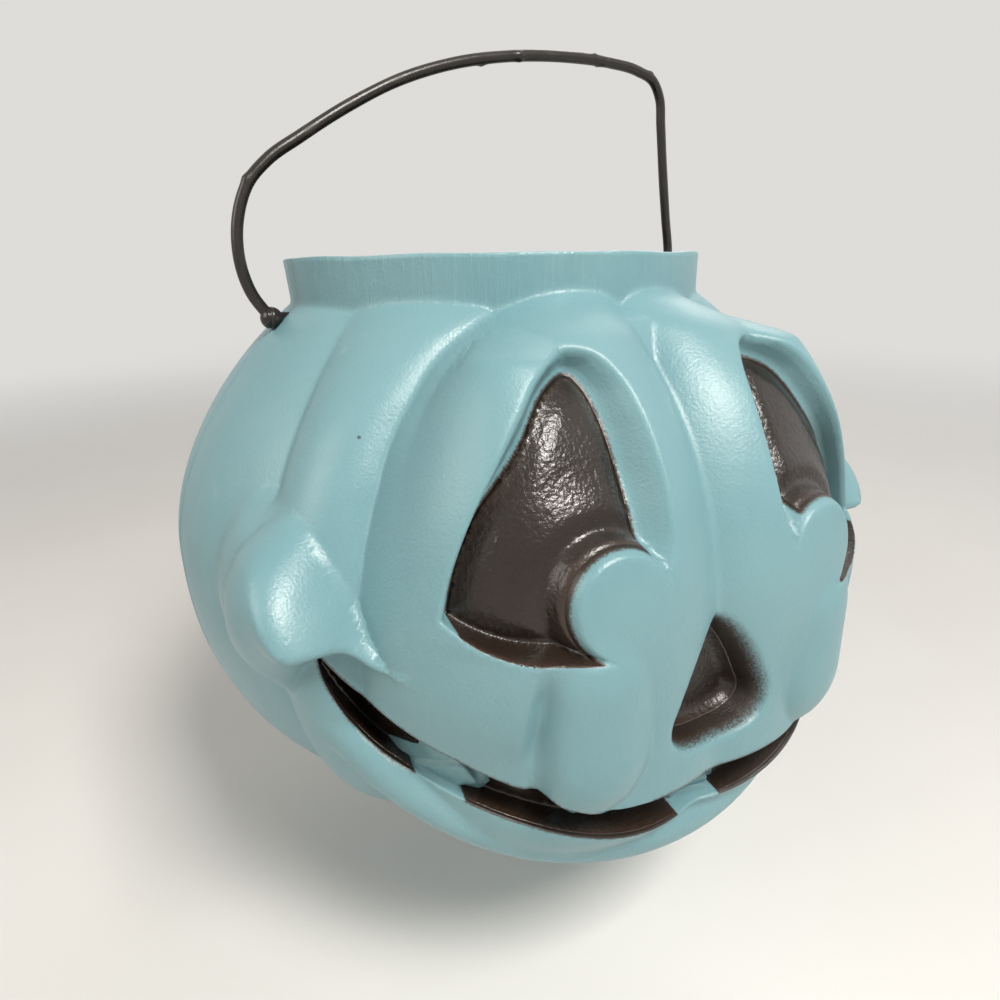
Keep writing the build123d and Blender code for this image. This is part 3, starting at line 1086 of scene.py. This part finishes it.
def disc_rings(ring, shares, heights):
    """Rings drawn in from an edge ring towards the middle of a flat end."""
    rings = []
    for share, height in zip(shares, heights):
        drawn = ring * np.array([share, share, 0])
        rings.append(drawn + np.array([0, 0, height]))
    return rings


# Base: a flat foot ring, a shallow hollow and the mould's pinch line across it
base_shares = [0.18, 0.5, 0.78, 0.84, 0.90, 0.96]
base_heights = [1.5, 1.5, 1.35, 0.7, 0.02, 0]
base_middle_height = 1.5
pinch_height = 0.8
pinch_half_width = 0.9
floor_shares = [0.94, 0.6, 0.2]
floor_height = 3.4


def base_rings():
    """Underside from its middle out to the skin."""
    rings = disc_rings(skin[skin_foot], base_shares, base_heights)
    for ring, height in zip(rings, base_heights):
        pinch = np.exp(-(ring[:, 1] / pinch_half_width) ** 2) * min(height / base_middle_height, 1)
        ring[:, 2] -= pinch_height * pinch
    return rings


def strip(lower, upper):
    """Faces between two rings of point numbers."""
    return list(zip(lower, np.roll(lower, -1), np.roll(upper, -1), upper))


# Overspray round the painted recesses: how far it fades, as a share of a wall's run
spray_shares = {"eye_paint_left": 0.22, "eye_paint_right": 0.22, "nose_paint": 0.80, "mouth_paint": 0.75}
spray_margin = 5.0


def near_recess(name):
    """Whether each point of the skin is in or round a recess."""
    near = recesses[name].near(skin[:, 0], skin[:, 2], spray_margin)
    return near & (np.abs(skin_azimuths) < face_map_angle)


def spray_amount():
    """Black overspray on the skin round each painted recess."""
    amount = np.zeros(len(skin))
    for name, fade in spray_shares.items():
        near = near_recess(name)
        edge = coat_field(name)(skin[near, 0], skin[near, 2])
        amount[near] = np.maximum(amount[near], ease(1 + edge / fade))
    return amount


def build_shell():
    """The whole moulding as one closed mesh."""
    base = base_rings()
    collar = collar_rings()
    inner = inner_rings()
    floor = disc_rings(inner[-1], floor_shares, [floor_height] * len(floor_shares))
    rings = base + collar + inner + floor
    points = np.vstack([skin, *rings, [(0, 0, base_middle_height)], [(0, 0, floor_height)]])
    ids = [len(skin) + n * columns + np.arange(columns) for n in range(len(rings))]
    below, above = ids[:len(base)], ids[len(base):]
    faces = skin_faces.tolist()
    for lower, upper in zip(below, below[1:] + [skin_foot]):
        faces += strip(lower, upper)
    for lower, upper in zip([skin_head] + above, above):
        faces += strip(lower, upper)
    start, end = len(points) - 2, len(points) - 1
    for j in range(columns):
        k = (j + 1) % columns
        faces.append((start, below[0][k], below[0][j]))
        faces.append((end, above[-1][j], above[-1][k]))
    shell = new_mesh("pail_moulding", points, faces)
    spray = np.zeros(len(points))
    spray[:len(skin)] = spray_amount()
    inner_start = len(collar) - inner_collar_rows
    trim = np.zeros(len(points))
    trim[above[0][0]:above[inner_start][0]] = 1
    cut = np.zeros(len(points))
    cut[above[inner_start - 2][0]:above[inner_start][0]] = 1
    point_values(shell, "spray", spray)
    point_values(shell, "trim", trim)
    point_values(shell, "cut", cut)
    return shell


# Coats of paint: how far each stands out of the skin and reaches into it
coat_thickness = 0.12
coat_bite = 0.35


def build_coat(name, node):
    """One sprayed coat as a thin closed layer on its recess."""
    field = coat_field(node)
    faces = skin_faces[near_recess(node)[skin_faces].all(axis=1)]
    middle = skin[faces].mean(axis=1)
    faces = faces[field(middle[:, 0], middle[:, 2]) > 0]
    used, order = np.unique(faces, return_inverse=True)
    faces = order.reshape(faces.shape)
    count = len(used)
    front = skin[used] + skin_normals[used] * coat_thickness
    back = skin[used] - skin_normals[used] * coat_bite
    edges = {(int(f[k]), int(f[(k + 1) % 3])) for f in faces for k in range(3)}
    borders = [(a, b) for a, b in sorted(edges) if (b, a) not in edges]
    solid = faces.tolist() + (faces[:, ::-1] + count).tolist()
    solid += [(b, a, count + a, count + b) for a, b in borders]
    coat = new_mesh(name, np.vstack([front, back]), solid)
    edge = field(skin[used, 0], skin[used, 2])
    point_values(coat, "edge", np.concatenate([edge, edge]))
    return coat


# Small marks along the handle: place along the rod, height and length
rod_marks = [(0.145, 0.42, 1.2), (0.455, 0.5, 1.3), (0.505, 0.45, 1.1), (0.615, 0.32, 0.9),
             (0.622, 0.32, 0.9), (0.629, 0.3, 0.9), (0.705, 0.4, 1.2)]
mark_turn = 2.1
mark_side_start = 0.2
mark_side_span = 0.6
rod_sides = 20
rod_spline_steps = 24
rod_step = 0.9
rod_wander = 0.05
rod_waves = (140.0, 61.0, 23.0)
rod_wave_shift = 6
rod_wave_seed = 3

# Half section of a bead as angles of two arcs with a groove between, and of the barb on its pin
bead_outer_arc = (0.02, 1.15)
bead_inner_arc = (1.5, 2.62)
bead_arc_steps = 9
bead_groove = [(-0.95, 3.1), (-0.7, 2.95), (-0.45, 3.1)]
barb_section = [(0, 1.6), (0.05, 2.25), (0.3, 2.5), (2.5, 1.3), (3.0, 0.65)]
bead_sides = 32


def closed_tube(name, rings):
    """Closed piece through rings of points, with a flat face at each end."""
    count = len(rings[0])
    ids = [n * count + np.arange(count) for n in range(len(rings))]
    faces = [ids[0], ids[-1]]
    for lower, upper in zip(ids, ids[1:]):
        faces += strip(lower, upper)
    tube = new_mesh(name, np.vstack(rings), faces)
    outward(tube)
    return tube


def circle_angles(sides):
    """Angles of the corners round a ring."""
    return np.arange(sides) / sides * 2 * math.pi


def build_rod():
    """Bent rod from bead to bead, slightly uneven, with its small moulding marks."""
    line = spline(handle_route, rod_spline_steps)
    lengths = line_lengths(line)
    along = np.arange(0, lengths[-1], rod_step)
    x = np.interp(along, lengths, line[:, 0])
    z = np.interp(along, lengths, line[:, 1])
    run = np.column_stack([np.gradient(x), np.gradient(z)])
    run /= np.linalg.norm(run, axis=1, keepdims=True)
    waves = np.random.default_rng(rod_wave_seed)
    radius = np.full(len(along), rod_radius)
    for length in rod_waves:
        radius += rod_wander / 3 * np.sin(along / length * 2 * math.pi + waves.uniform(0, rod_wave_shift))
    angles = circle_angles(rod_sides)
    rings = []
    for n in range(len(along)):
        ring_radius = np.full(rod_sides, radius[n])
        for m, (place, height, length) in enumerate(rod_marks):
            away = (along[n] - place * lengths[-1]) / length
            side = ease((np.cos(angles - m * mark_turn) - mark_side_start) / mark_side_span)
            ring_radius += height * np.exp(-away ** 2) * side
        up = ring_radius * np.cos(angles)
        across = ring_radius * np.sin(angles)
        rings.append(np.column_stack([x[n] - up * run[n, 1], across, z[n] + up * run[n, 0]]))
    return closed_tube("bail_rod", rings)


def bead_profile():
    """Half section of a bead, its pin and its barb: distance inwards from the hinge point, and radius."""
    outer, inner = [
        [(-bead_radius * math.cos(t), bead_radius * math.sin(t)) for t in np.linspace(*arc, bead_arc_steps)]
        for arc in (bead_outer_arc, bead_inner_arc)
    ]
    barb = [(hinge_offset - barb_offset + inwards, radius) for inwards, radius in barb_section]
    return outer + bead_groove + inner + barb


def build_bead(name, hand):
    """Bead, pin and barb turned about the hinge line."""
    angles = circle_angles(bead_sides)
    rings = []
    for inwards, radius in bead_profile():
        x = np.full(bead_sides, hand * (hinge_offset - inwards))
        rings.append(np.column_stack([x, radius * np.cos(angles), hinge_height + radius * np.sin(angles)]))
    return closed_tube(name, rings)


# Colours of the materials
teal = (0.170, 0.325, 0.360, 1)
teal_pale = (0.205, 0.355, 0.385, 1)
teal_deep = (0.135, 0.280, 0.318, 1)
speck_dark = (0.03, 0.03, 0.028, 1)
scuff_pale = (0.38, 0.52, 0.54, 1)
streak_pale = (0.40, 0.52, 0.53, 1)
cut_pale = (0.48, 0.60, 0.60, 1)
paint_black = (0.016, 0.0105, 0.0075, 1)
paint_warm = (0.021, 0.0135, 0.0095, 1)
paint_brown = (0.045, 0.026, 0.018, 1)
rod_black = (0.014, 0.0105, 0.0085, 1)
rod_worn = (0.032, 0.025, 0.021, 1)

# Teal plastic: scales per metre, ranges of the noise, how strongly each mark shows, and relief in metres
mottle_scale = 16
mottle_range = (0.32, 0.70)
teal_share = 0.62
speck_scale = 120
speck_range = (0.075, 0.045)
speck_chance_range = (0.965, 0.975)
speck_share = 0.85
scuff_scale = 70
scuff_stretch = (1, 1, 0.35)
scuff_warp = 1.2
scuff_range = (0.66, 0.74)
scuff_share = 0.30
scuff_roughness = 0.12
wear_scale = 11
wear_range = (0.52, 0.66)
streak_stretch = (900, 900, 38)
streak_range = (0.48, 0.72)
streak_share = 0.09
streak_roughness = 0.08
streak_relief = 0.00008
cut_share = 0.45
spray_grain_scale = 1500
spray_grain = 0.9
spray_grain_range = (0.22, 0.80)
spray_start_range = (0.0, 0.12)
spray_full_range = (0.55, 1.0)
sheen_scale = 24
plastic_roughness = (0.33, 0.42)
wave_scale = 85
wave_relief = 0.00022
pebble_scale = 1250
pebble_relief = 0.00011

# Sprayed paint
paint_grain_scale = 1300
paint_grain = 0.5
paint_thin_range = (0.30, -0.05)
paint_thin_share = 0.7
paint_cloud_scale = 40
paint_cloud_range = (0.35, 0.75)
paint_sheen_scale = 30
paint_roughness = (0.24, 0.33)
paint_wave_scale = 160
paint_wave_relief = 0.00025
peel_scale = 850
peel_relief = 0.00021

# Black rod and beads
worn_scale = 120
worn_range = (0.52, 0.75)
worn_share = 0.5
worn_roughness = 0.16
rod_roughness = 0.30
bead_roughness = 0.20
rod_grain_scale = 900
rod_grain_relief = 0.00003
rod_draw_scale = 260
rod_draw_relief = 0.00008

# Usual middle of the noise and the range round it, and the sockets of a Mix node that take colours
noise_middle = 0.5
middle_range = (0.3, 0.7)
mix_color_a = 6
mix_color_b = 7


class Look:
    """A material's node tree, with short helpers."""

    def __init__(self, name):
        self.material = bpy.data.materials.new(name)
        self.material.use_nodes = True
        self.tree = self.material.node_tree
        self.shader = next(n for n in self.tree.nodes if n.type == "BSDF_PRINCIPLED")
        self.place = self.node("TexCoord", {}).outputs["Object"]

    def join(self, value, socket):
        """Link an output, or set a constant."""
        if isinstance(value, bpy.types.NodeSocket):
            self.tree.links.new(value, socket)
        else:
            socket.default_value = value

    def node(self, kind, inputs):
        """A node of a kind, with its inputs linked or set."""
        node = self.tree.nodes.new("ShaderNode" + kind)
        for key, value in inputs.items():
            self.join(value, node.inputs[key])
        return node

    def noise(self, scale, detail=2.0, rough=0.5, stretch=None, warp=0.0):
        """Noise in metres, optionally stretched."""
        place = self.place
        if stretch:
            place = self.node("Mapping", {"Vector": place, "Scale": stretch}).outputs["Vector"]
        sizes = {"Vector": place, "Scale": scale, "Detail": detail, "Roughness": rough, "Distortion": warp}
        return self.node("TexNoise", sizes).outputs["Fac"]

    def cells(self, scale):
        """Cell pattern: distance from the cell's point, and a random value per cell."""
        cell = self.node("TexVoronoi", {"Vector": self.place, "Scale": scale})
        split = self.node("SeparateColor", {"Color": cell.outputs["Color"]})
        return cell.outputs["Distance"], split.outputs["Red"]

    def attribute(self, name):
        """A number stored on the points."""
        node = self.node("Attribute", {})
        node.attribute_name = name
        return node.outputs["Fac"]

    def math(self, kind, a, b):
        """One sum."""
        node = self.node("Math", {0: a, 1: b})
        node.operation = kind
        return node.outputs[0]

    def times(self, a, b):
        """Product of two values."""
        return self.math("MULTIPLY", a, b)

    def grainy(self, value, scale, amount):
        """A value broken up by fine noise."""
        dust = self.math("SUBTRACT", self.noise(scale, detail=3, rough=0.7), noise_middle)
        return self.math("ADD", value, self.times(dust, amount))

    def span(self, value, low, high, to_low=0.0, to_high=1.0):
        """A value taken from one range to another, smoothly and clamped."""
        ends = {"From Min": low, "From Max": high, "To Min": to_low, "To Max": to_high}
        node = self.node("MapRange", {"Value": value, **ends})
        node.interpolation_type = "SMOOTHSTEP"
        return node.outputs["Result"]

    def mix(self, share, a, b):
        """Blend of two colours."""
        node = self.node("Mix", {"Factor": share, mix_color_a: a, mix_color_b: b})
        node.data_type = "RGBA"
        return node.outputs[2]

    def bump(self, height, distance, below=None):
        """Relief in metres over an earlier relief."""
        node = self.node("Bump", {"Distance": distance, "Strength": 1.0, "Height": height})
        if below is not None:
            self.join(below, node.inputs["Normal"])
        return node.outputs["Normal"]

    def finish(self, color, roughness, normal):
        """Connect the shader."""
        self.join(color, self.shader.inputs["Base Color"])
        self.join(roughness, self.shader.inputs["Roughness"])
        self.join(normal, self.shader.inputs["Normal"])
        return self.material


def plastic_look():
    """Teal blow-moulded plastic: pebbled skin, faint mottling, specks, scuffs and overspray."""
    look = Look("teal_plastic")
    cloud = look.span(look.noise(mottle_scale, detail=4, rough=0.55), *mottle_range)
    color = look.mix(teal_share, look.mix(cloud, teal_deep, teal_pale), teal)
    far, chance = look.cells(speck_scale)
    speck = look.times(look.span(far, *speck_range), look.span(chance, *speck_chance_range))
    color = look.mix(look.times(speck, speck_share), color, speck_dark)
    rubbed = look.noise(scuff_scale, detail=5, rough=0.62, stretch=scuff_stretch, warp=scuff_warp)
    scuff = look.times(look.span(rubbed, *scuff_range), look.span(look.noise(wear_scale), *wear_range))
    color = look.mix(look.times(scuff, scuff_share), color, scuff_pale)
    drawn = look.span(look.noise(1.0, detail=4, rough=0.6, stretch=streak_stretch), *streak_range)
    streak = look.times(drawn, look.attribute("trim"))
    color = look.mix(look.times(streak, streak_share), color, streak_pale)
    color = look.mix(look.times(look.attribute("cut"), cut_share), color, cut_pale)
    spray = look.attribute("spray")
    grain = look.span(look.grainy(spray, spray_grain_scale, spray_grain), *spray_grain_range)
    grain = look.times(grain, look.span(spray, *spray_start_range))
    color = look.mix(grain, color, paint_brown)
    color = look.mix(look.span(spray, *spray_full_range), color, paint_black)
    rough = look.span(look.noise(sheen_scale, detail=3), *middle_range, *plastic_roughness)
    rough = look.math("ADD", rough, look.times(scuff, scuff_roughness))
    rough = look.math("ADD", rough, look.times(streak, streak_roughness))
    relief = look.bump(look.noise(wave_scale), wave_relief)
    relief = look.bump(streak, streak_relief, relief)
    relief = look.bump(look.noise(pebble_scale, rough=0.55), pebble_relief, relief)
    return look.finish(color, rough, relief)


def paint_look():
    """Glossy black sprayed paint with an orange-peel skin, thin and brown at its edges."""
    look = Look("sprayed_black_paint")
    edge = look.grainy(look.attribute("edge"), paint_grain_scale, paint_grain)
    thin = look.span(edge, *paint_thin_range)
    cloud = look.span(look.noise(paint_cloud_scale, detail=3), *paint_cloud_range)
    color = look.mix(cloud, paint_black, paint_warm)
    color = look.mix(look.times(thin, paint_thin_share), color, paint_brown)
    rough = look.span(look.noise(paint_sheen_scale), *middle_range, *paint_roughness)
    relief = look.bump(look.noise(paint_wave_scale), paint_wave_relief)
    relief = look.bump(look.noise(peel_scale), peel_relief, relief)
    return look.finish(color, rough, relief)


def rod_look(name, roughness):
    """Black moulded plastic with faint draw marks and dull scuffs."""
    look = Look(name)
    worn = look.span(look.noise(worn_scale, detail=4, rough=0.6), *worn_range)
    color = look.mix(look.times(worn, worn_share), rod_black, rod_worn)
    rough = look.math("ADD", look.times(worn, worn_roughness), roughness)
    relief = look.bump(look.noise(rod_grain_scale), rod_grain_relief)
    relief = look.bump(look.noise(rod_draw_scale), rod_draw_relief, relief)
    return look.finish(color, rough, relief)


teal_plastic = plastic_look()
black_paint = paint_look()
black_rod = rod_look("black_rod_plastic", rod_roughness)
black_bead = rod_look("black_bead_plastic", bead_roughness)

# Pieces on their bodies
shell = build_shell()
shell.data.materials.append(teal_plastic)
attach(shell, "pail")
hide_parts("pail_shell")

coat_names = {
    "eye_paint_left": "left_eye_coat",
    "eye_paint_right": "right_eye_coat",
    "nose_paint": "nose_coat",
    "mouth_paint": "mouth_coat",
}
for node, name in coat_names.items():
    coat = build_coat(name, node)
    coat.data.materials.append(black_paint)
    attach(coat, "pail")
    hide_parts(node)

rod = build_rod()
rod.data.materials.append(black_rod)
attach(rod, "handle")
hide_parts("handle_rod")

for name, node, hand in (("left_bead", "handle_button_left", -1), ("right_bead", "handle_button_right", 1)):
    bead = build_bead(name, hand)
    bead.data.materials.append(black_bead)
    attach(bead, "handle")
    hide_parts(node)

# Floor with a swept back in metres, in one pale colour, which stays plain far behind the pail
floor_color = (0.74, 0.73, 0.71, 1)
floor_pale = (0.76, 0.75, 0.735, 1)
floor_mottle_scale = 6
floor_grain_scale = 700
floor_grain_relief = 0.00003
floor_roughness = 0.85
sweep_profile = [(-3.0, 0), (0.9, 0), (1.3, 0.04), (1.6, 0.18), (1.82, 0.45), (1.9, 0.9), (1.9, 5.0)]
sweep_steps = 8
floor_half_width = 9.0
backdrop_color = (0.73, 0.72, 0.70, 1)
backdrop_range = (0.45, 1.5)
camera_heading = math.radians(29.83)


def turned(x, y, z):
    """Point of the studio, turned so that the sweep's back faces the camera."""
    c, s = math.cos(camera_heading), math.sin(camera_heading)
    return (x * c + y * s, y * c - x * s, z)


def build_floor():
    """Seamless studio sweep behind the pail."""
    line = spline(sweep_profile, sweep_steps)
    points = [turned(side * floor_half_width, y, z) for y, z in line for side in (-1, 1)]
    faces = [(2 * n, 2 * n + 1, 2 * n + 3, 2 * n + 2) for n in range(len(line) - 1)]
    return new_mesh("studio_floor", np.array(points) / MM, faces)


def add_math(tree, kind, a, b):
    """One sum of two outputs in a node tree."""
    node = tree.nodes.new("ShaderNodeMath")
    node.operation = kind
    tree.links.new(a, node.inputs[0])
    tree.links.new(b, node.inputs[1])
    return node.outputs[0]


def show_backdrop(tree, lit, plain_kind, output_kind, share=None):
    """Plain backdrop colour where the camera, gloss or glass looks, over the lit surface that others see."""
    ray = tree.nodes.new("ShaderNodeLightPath")
    seen = ray.outputs["Is Camera Ray"]
    for kind in ("Is Glossy Ray", "Is Transmission Ray"):
        seen = add_math(tree, "MAXIMUM", seen, ray.outputs[kind])
    if share is not None:
        seen = add_math(tree, "MULTIPLY", seen, share)
    plain = tree.nodes.new(plain_kind)
    plain.inputs["Color"].default_value = backdrop_color
    both = tree.nodes.new("ShaderNodeMixShader")
    for socket, value in zip(both.inputs, (seen, lit.outputs[0], plain.outputs[0])):
        tree.links.new(value, socket)
    output = next(n for n in tree.nodes if n.type == output_kind)
    tree.links.new(both.outputs[0], output.inputs["Surface"])


def floor_look():
    """Matt pale paper with the faintest mottling."""
    look = Look("pale_paper")
    tone = look.span(look.noise(floor_mottle_scale, detail=3), *middle_range)
    grain = look.bump(look.noise(floor_grain_scale), floor_grain_relief)
    material = look.finish(look.mix(tone, floor_color, floor_pale), floor_roughness, grain)
    away = look.node("VectorMath", {0: look.place})
    away.operation = "LENGTH"
    far = look.span(away.outputs["Value"], *backdrop_range)
    show_backdrop(look.tree, look.shader, "ShaderNodeEmission", "OUTPUT_MATERIAL", far)
    return material


floor = build_floor()
floor.data.materials.append(floor_look())

# Light: a soft key above the front, a warm fill from the left, weaker ones from the right and behind,
# each with its place, size in metres, power in watts and colour
light_aim = (0, -0.02, 0.10)
lights = {
    "key_box": ((0.02, -0.66, 0.84), 0.30, 10.8, (1.0, 0.96, 0.90)),
    "left_box": ((-1.15, -0.10, 0.75), 0.7, 6.0, (1.0, 0.93, 0.84)),
    "right_box": ((1.1, -0.55, 0.70), 0.9, 1.4, (0.95, 0.98, 1.0)),
    "back_box": (turned(0.5, 1.15, 1.05), 0.8, 4.5, (1.0, 0.97, 0.93)),
}
world_color = (0.80, 0.81, 0.82, 1)
world_strength = 0.26


def area_light(name, place, size, power, color):
    """Square soft box aimed at the pail."""
    lamp = bpy.data.lights.new(name, "AREA")
    lamp.shape = "SQUARE"
    lamp.size = size
    lamp.energy = power
    lamp.color = color
    light = bpy.data.objects.new(name, lamp)
    light.location = place
    light.rotation_euler = (Vector(light_aim) - Vector(place)).to_track_quat("-Z", "Y").to_euler()
    bpy.context.scene.collection.objects.link(light)


def studio_world():
    """Pale even light from all round, with the plain backdrop where the camera looks past the sweep."""
    world = bpy.data.worlds.new("studio")
    world.use_nodes = True
    background = next(n for n in world.node_tree.nodes if n.type == "BACKGROUND")
    background.inputs["Color"].default_value = world_color
    background.inputs["Strength"].default_value = world_strength
    show_backdrop(world.node_tree, background, "ShaderNodeBackground", "OUTPUT_WORLD")
    return world


for name, values in lights.items():
    area_light(name, *values)
bpy.context.scene.world = studio_world()

# Camera at the photograph's place: left of the face, just below the rim's height, looking down
camera_place = (-0.1287, -0.2265, 0.1806)
camera_pitch = math.radians(18.07)
camera_roll = math.radians(-1.12)
camera_lens = 25.09
camera_sensor = 36.0
camera_clip = 0.01


def add_camera():
    """Camera from its place, heading, pitch and roll."""
    level = Vector((math.cos(camera_heading), -math.sin(camera_heading), 0))
    ahead = Vector((math.sin(camera_heading), math.cos(camera_heading), 0))
    forward = ahead * math.cos(camera_pitch) - Vector((0, 0, math.sin(camera_pitch)))
    up = level.cross(forward)
    right = level * math.cos(camera_roll) + up * math.sin(camera_roll)
    top = up * math.cos(camera_roll) - level * math.sin(camera_roll)
    pose = Matrix((right, top, -forward)).transposed().to_4x4()
    pose.translation = camera_place
    data = bpy.data.cameras.new("photo_camera")
    data.lens = camera_lens
    data.sensor_width = camera_sensor
    data.sensor_fit = "HORIZONTAL"
    data.clip_start = camera_clip
    camera = bpy.data.objects.new("photo_camera", data)
    camera.matrix_world = pose
    bpy.context.scene.collection.objects.link(camera)
    bpy.context.scene.camera = camera


add_camera()
bpy.context.scene.view_settings.view_transform = "Standard"
